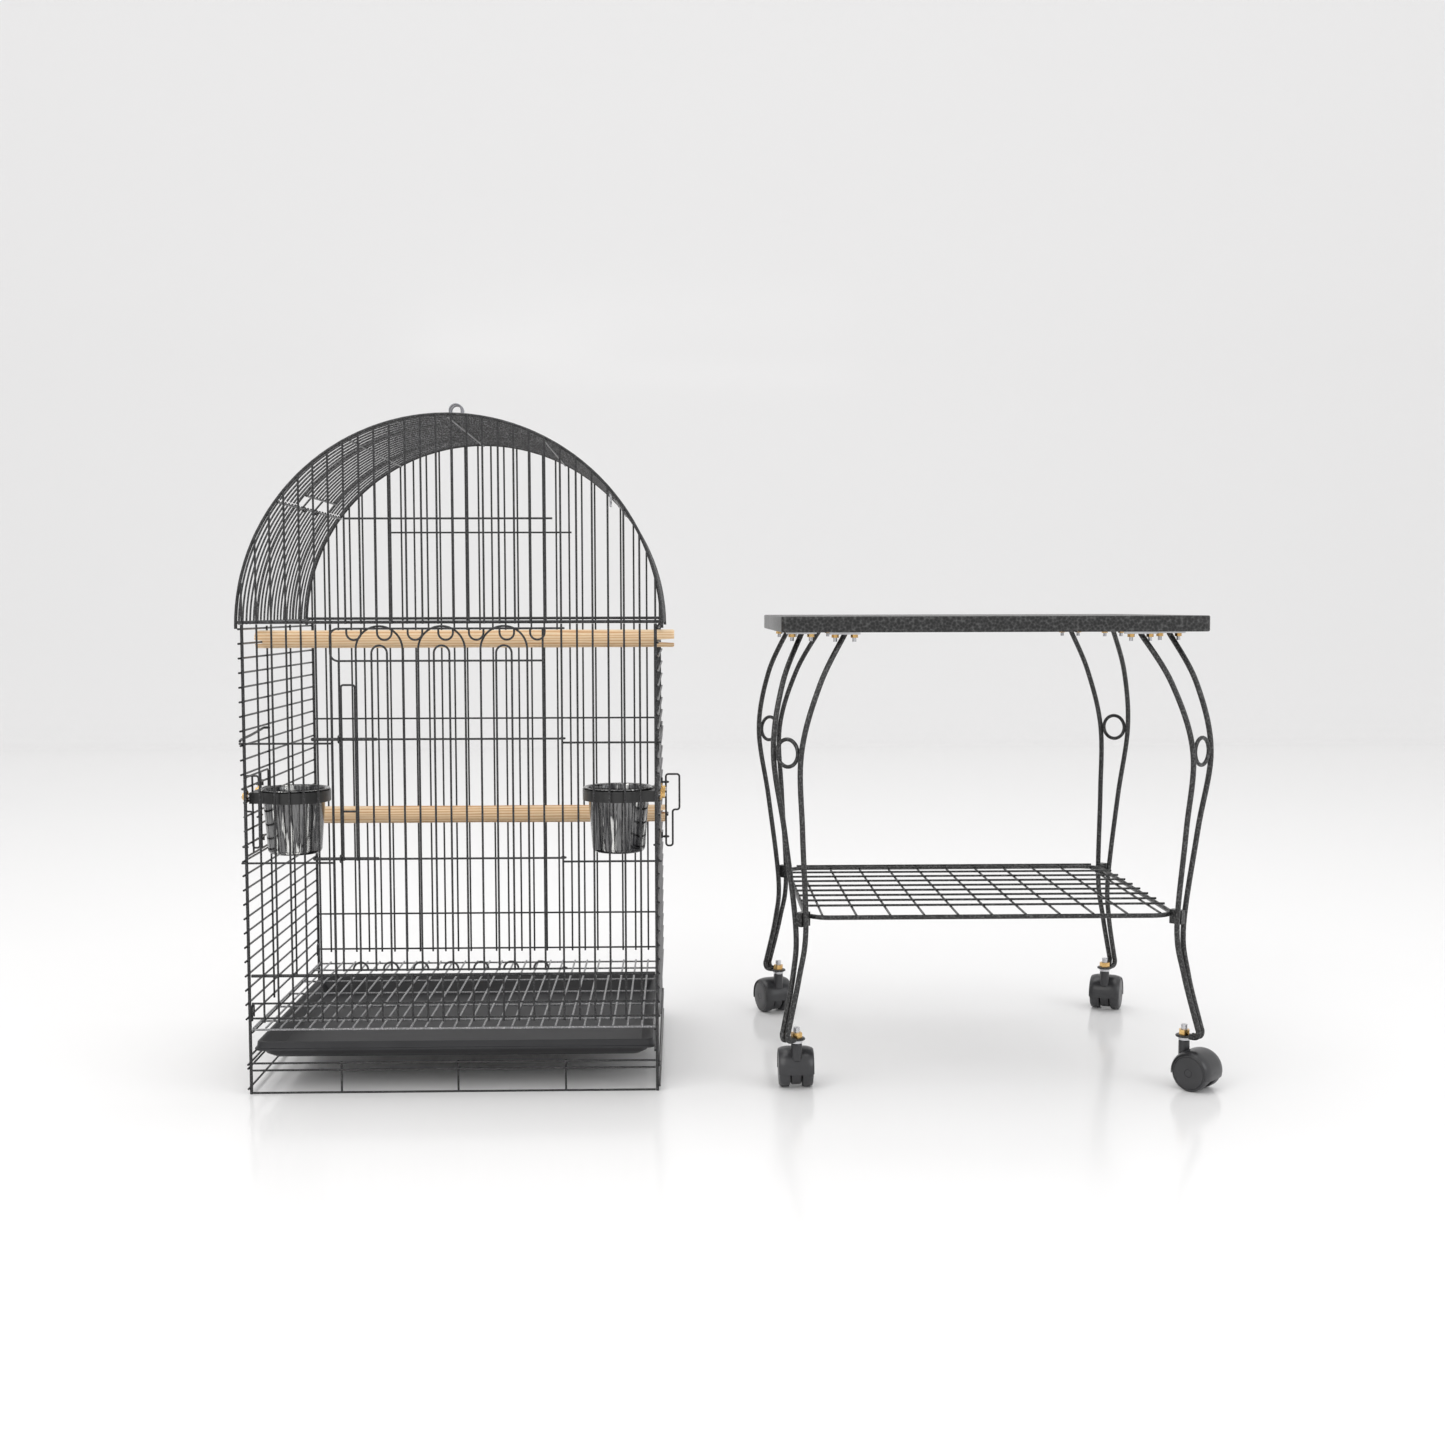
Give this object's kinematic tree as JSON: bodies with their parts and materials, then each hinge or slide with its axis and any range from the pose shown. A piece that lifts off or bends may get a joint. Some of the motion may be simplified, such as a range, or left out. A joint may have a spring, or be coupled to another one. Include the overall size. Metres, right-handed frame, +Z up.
{
  "type": "bird cage with rolling stand",
  "caption": "Dome-topped wire bird cage with door, roof hatch, feeder doors and pull-out tray, beside its rolling stand with board, wire shelf and casters.",
  "frame": {"origin": "middle of the set's outer box at floor level", "axes": "+X from the cage towards the stand, +Y from the cage's door to its back, +Z up"},
  "size_m": [1.2599, 0.4991, 0.886],
  "materials": {
    "cage_coat": "hammertone powder coat",
    "roof_coat": "hammertone powder coat",
    "board": "textured black paint",
    "grate_coat": "powder coat",
    "stand_coat": "hammertone powder coat",
    "tab_zinc": "zinc plated",
    "bright_steel": "satin",
    "caster_hood": "moulded",
    "caster_wheel": "moulded",
    "brass": "plated",
    "chrome": "polished",
    "tray_plastic": "fine grained",
    "pine": "plain sanded",
    "holder_plastic": "moulded",
    "cup_steel": "spun and polished"
  },
  "bodies": {
    "stand": {"stand_top": "board", "leg_rods_front_left": "stand_coat", "leg_rods_front_right": "stand_coat", "leg_rods_back_left": "stand_coat", "leg_rods_back_right": "stand_coat", "leg_rings": "stand_coat", "leg_spacers": "stand_coat", "leg_tabs": "tab_zinc", "leg_bolts": "bright_steel", "leg_nuts": "brass", "foot_plates": "stand_coat", "foot_nuts": "brass", "shelf": "stand_coat", "caster_stems": "bright_steel"},
    "cage": {"front_panel": "cage_coat", "back_panel": "cage_coat", "left_panel": "cage_coat", "right_panel": "cage_coat", "roof_left": "roof_coat", "roof_right": "roof_coat", "roof_front": "roof_coat", "roof_back": "roof_coat", "front_rail": "cage_coat", "back_rail": "cage_coat", "perch_upper": "pine", "perch_lower": "pine"},
    "main_door": {"main_door": "cage_coat"},
    "door_latch": {"door_latch": "cage_coat"},
    "roof_hatch": {"roof_hatch": "roof_coat", "hatch_catch": "bright_steel", "hatch_handle": "chrome"},
    "tray": {"tray": "tray_plastic"},
    "floor_grate": {"floor_grate": "grate_coat"},
    "feeder_left": {"feeder_door_left": "cage_coat", "cup_holder_left": "holder_plastic", "holder_bolts_left": "bright_steel", "holder_nuts_left": "brass"},
    "feeder_latch_left": {"feeder_latch_left": "cage_coat"},
    "cup_left": {"cup_left": "cup_steel"},
    "feeder_right": {"feeder_door_right": "cage_coat", "cup_holder_right": "holder_plastic", "holder_bolts_right": "bright_steel", "holder_nuts_right": "brass"},
    "feeder_latch_right": {"feeder_latch_right": "cage_coat"},
    "cup_right": {"cup_right": "cup_steel"},
    "caster_front_left": {"caster_hood_front_left": "caster_hood", "caster_axle_front_left": "bright_steel"},
    "wheels_front_left": {"caster_wheels_front_left": "caster_wheel"},
    "caster_front_right": {"caster_hood_front_right": "caster_hood", "caster_axle_front_right": "bright_steel"},
    "wheels_front_right": {"caster_wheels_front_right": "caster_wheel"},
    "caster_back_left": {"caster_hood_back_left": "caster_hood", "caster_axle_back_left": "bright_steel"},
    "wheels_back_left": {"caster_wheels_back_left": "caster_wheel"},
    "caster_back_right": {"caster_hood_back_right": "caster_hood", "caster_axle_back_right": "bright_steel"},
    "wheels_back_right": {"caster_wheels_back_right": "caster_wheel"}
  },
  "joints": [
    {"name": "cage_lift", "type": "slide", "parent": "stand", "child": "cage", "axis": [0, 0, 1], "range_m": [0, 0.65]},
    {"name": "main_door_hinge", "type": "hinge", "parent": "cage", "child": "main_door", "pos_m": [-0.20551, -0.19605, 0.372], "axis": [0, 0, 1], "range_deg": [0, 150]},
    {"name": "door_latch_slide", "type": "slide", "parent": "main_door", "child": "door_latch", "axis": [1, 0, 0], "range_m": [0, 0.024]},
    {"name": "roof_hatch_hinge", "type": "hinge", "parent": "cage", "child": "roof_hatch", "pos_m": [-0.55469, 0.00495, 0.74209], "axis": [0, -1, 0], "range_deg": [0, 110]},
    {"name": "tray_slide", "type": "slide", "parent": "cage", "child": "tray", "axis": [0, -1, 0], "range_m": [0, 0.36]},
    {"name": "floor_grate_slide", "type": "slide", "parent": "cage", "child": "floor_grate", "axis": [0, -1, 0], "range_m": [0, 0.25]},
    {"name": "feeder_left_hinge", "type": "hinge", "parent": "cage", "child": "feeder_left", "pos_m": [-0.60051, -0.19605, 0.35], "axis": [0, 0, 1], "range_deg": [0, 95]},
    {"name": "feeder_latch_left_slide", "type": "slide", "parent": "feeder_left", "child": "feeder_latch_left", "axis": [0, 0, 1], "range_m": [0, 0.009]},
    {"name": "cup_left_lift", "type": "slide", "parent": "feeder_left", "child": "cup_left", "axis": [0, 0, 1], "range_m": [0, 0.1]},
    {"name": "feeder_right_hinge", "type": "hinge", "parent": "cage", "child": "feeder_right", "pos_m": [-0.08851, -0.19605, 0.35], "axis": [0, 0, -1], "range_deg": [0, 95]},
    {"name": "feeder_latch_right_slide", "type": "slide", "parent": "feeder_right", "child": "feeder_latch_right", "axis": [0, 0, 1], "range_m": [0, 0.009]},
    {"name": "cup_right_lift", "type": "slide", "parent": "feeder_right", "child": "cup_right", "axis": [0, 0, 1], "range_m": [0, 0.1]},
    {"name": "caster_front_left_swivel", "type": "hinge", "parent": "stand", "child": "caster_front_left", "pos_m": [0.08799, -0.19755, 0.05], "axis": [0, 0, 1], "continuous": true},
    {"name": "wheels_front_left_roll", "type": "hinge", "parent": "caster_front_left", "child": "wheels_front_left", "pos_m": [0.08799, -0.17955, 0.024], "axis": [1, 0, 0], "continuous": true},
    {"name": "caster_front_right_swivel", "type": "hinge", "parent": "stand", "child": "caster_front_right", "pos_m": [0.58299, -0.19755, 0.05], "axis": [0, 0, 1], "continuous": true},
    {"name": "wheels_front_right_roll", "type": "hinge", "parent": "caster_front_right", "child": "wheels_front_right", "pos_m": [0.59571, -0.21028, 0.024], "axis": [-0.7071, -0.7071, 0], "continuous": true},
    {"name": "caster_back_left_swivel", "type": "hinge", "parent": "stand", "child": "caster_back_left", "pos_m": [0.08799, 0.20745, 0.05], "axis": [0, 0, 1], "continuous": true},
    {"name": "wheels_back_left_roll", "type": "hinge", "parent": "caster_back_left", "child": "wheels_back_left", "pos_m": [0.08124, 0.22414, 0.024], "axis": [0.9272, 0.3746, 0], "continuous": true},
    {"name": "caster_back_right_swivel", "type": "hinge", "parent": "stand", "child": "caster_back_right", "pos_m": [0.58299, 0.20745, 0.05], "axis": [0, 0, 1], "continuous": true},
    {"name": "wheels_back_right_roll", "type": "hinge", "parent": "caster_back_right", "child": "wheels_back_right", "pos_m": [0.59002, 0.22402, 0.024], "axis": [0.9205, -0.3907, 0], "continuous": true}
  ]
}
